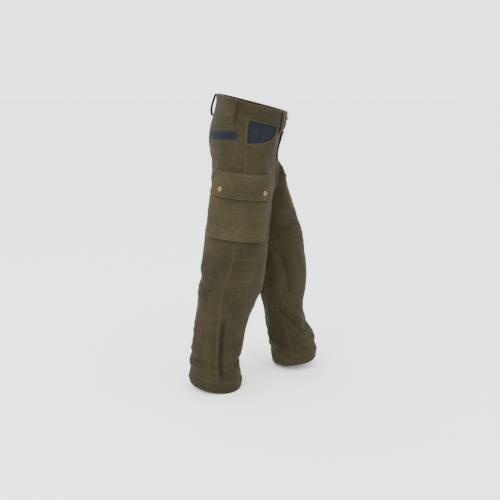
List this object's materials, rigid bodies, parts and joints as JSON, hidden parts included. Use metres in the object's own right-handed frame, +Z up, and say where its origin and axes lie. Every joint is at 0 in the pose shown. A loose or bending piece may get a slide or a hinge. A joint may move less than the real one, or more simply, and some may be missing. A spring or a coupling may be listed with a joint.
{
  "type": "chainsaw protective trousers",
  "caption": "Work trousers with cut-protection pads in the legs, flapped thigh pockets, a zipped fly and belt loops, bent at hip and knee in a walking stance.",
  "frame": {"origin": "middle of the waist opening, level with the wearer's waistline", "axes": "+X to the wearer's front, +Y to the wearer's left, +Z up"},
  "size_m": [0.4624, 0.4296, 1.0515],
  "materials": {
    "canvas": "olive green cotton and polyester twill, matt",
    "contrast_canvas": "navy black twill, matt",
    "lining": "plain woven pocket lining",
    "elastic": "woven elastic",
    "cut_protection_pad": "layered long-fibre knit",
    "webbing": "black woven tape",
    "brass": "stamped and plated, worn satin",
    "nickel": "die-cast and nickel plated"
  },
  "bodies": {
    "pelvis": {"waistband_right": "canvas", "waistband_left": "canvas", "waist_elastic_right": "elastic", "waist_elastic_left": "elastic", "front_hip_right": "canvas", "front_hip_left": "canvas", "back_hip_right": "canvas", "back_hip_left": "canvas", "front_pocket_facing_right": "contrast_canvas", "front_pocket_facing_left": "contrast_canvas", "front_pocket_bag_right": "lining", "front_pocket_bag_left": "lining", "back_pocket_trim_right": "contrast_canvas", "back_pocket_trim_left": "contrast_canvas", "back_pocket_right": "canvas", "back_pocket_left": "canvas", "belt_loop_front_right": "canvas", "belt_loop_front_left": "canvas", "belt_loop_side_right": "canvas", "belt_loop_side_left": "canvas", "belt_loop_back": "webbing", "hip_band_right": "canvas", "hip_band_left": "canvas", "zip_tape_right": "webbing", "zip_tape_left": "webbing", "zip_bottom_stop": "nickel", "fly_shield": "canvas", "waist_button": "brass"},
    "zip_slider": {"zip_slider": "nickel"},
    "zip_puller": {"zip_puller": "nickel"},
    "thigh_right": {"thigh_front_right": "canvas", "thigh_back_right": "canvas", "thigh_pad_right": "cut_protection_pad", "knee_band_right": "canvas", "cargo_pocket_right": "canvas", "snap_stud_front_right": "brass", "snap_stud_rear_right": "brass"},
    "cargo_flap_right": {"cargo_flap_right": "canvas", "snap_cap_front_right": "brass", "snap_cap_rear_right": "brass"},
    "shin_right": {"shin_front_right": "canvas", "shin_back_right": "canvas", "shin_pad_right": "cut_protection_pad", "hem_right": "canvas"},
    "thigh_left": {"thigh_front_left": "canvas", "thigh_back_left": "canvas", "thigh_pad_left": "cut_protection_pad", "knee_band_left": "canvas", "cargo_pocket_left": "canvas", "snap_stud_front_left": "brass", "snap_stud_rear_left": "brass"},
    "cargo_flap_left": {"cargo_flap_left": "canvas", "snap_cap_front_left": "brass", "snap_cap_rear_left": "brass"},
    "shin_left": {"shin_front_left": "canvas", "shin_back_left": "canvas", "shin_pad_left": "cut_protection_pad", "hem_left": "canvas"}
  },
  "joints": [
    {"name": "hip_right", "type": "hinge", "parent": "pelvis", "child": "thigh_right", "pos_m": [-0.02, -0.11, -0.215], "axis": [0, -1, 0], "range_deg": [-9.1, 50], "deforming": ["hip_band_right"]},
    {"name": "knee_right", "type": "hinge", "parent": "thigh_right", "child": "shin_right", "pos_m": [-0.0676, -0.114, -0.6755], "axis": [0, 1, 0], "range_deg": [-2.5, 57], "deforming": ["knee_band_right"]},
    {"name": "cargo_flap_right", "type": "hinge", "parent": "thigh_right", "child": "cargo_flap_right", "pos_m": [-0.0215, -0.211, -0.24], "axis": [-0.9947, 0, 0.1028], "range_deg": [0, 100]},
    {"name": "hip_left", "type": "hinge", "parent": "pelvis", "child": "thigh_left", "pos_m": [-0.02, 0.11, -0.215], "axis": [0, -1, 0], "range_deg": [-30.4, 29], "deforming": ["hip_band_left"]},
    {"name": "knee_left", "type": "hinge", "parent": "thigh_left", "child": "shin_left", "pos_m": [0.1029, 0.114, -0.6614], "axis": [0, 1, 0], "range_deg": [-7.9, 52], "deforming": ["knee_band_left"]},
    {"name": "cargo_flap_left", "type": "hinge", "parent": "thigh_left", "child": "cargo_flap_left", "pos_m": [-0.0125, 0.211, -0.2389], "axis": [0.9641, 0, 0.2656], "range_deg": [0, 100]},
    {"name": "zip_slide", "type": "slide", "parent": "pelvis", "child": "zip_slider", "axis": [-0.248, 0, -0.9688], "range_m": [0, 0.12]},
    {"name": "puller_swing", "type": "hinge", "parent": "zip_slider", "child": "zip_puller", "pos_m": [0.11471, 0, -0.11551], "axis": [0, -1, 0], "range_deg": [0, 150]}
  ]
}
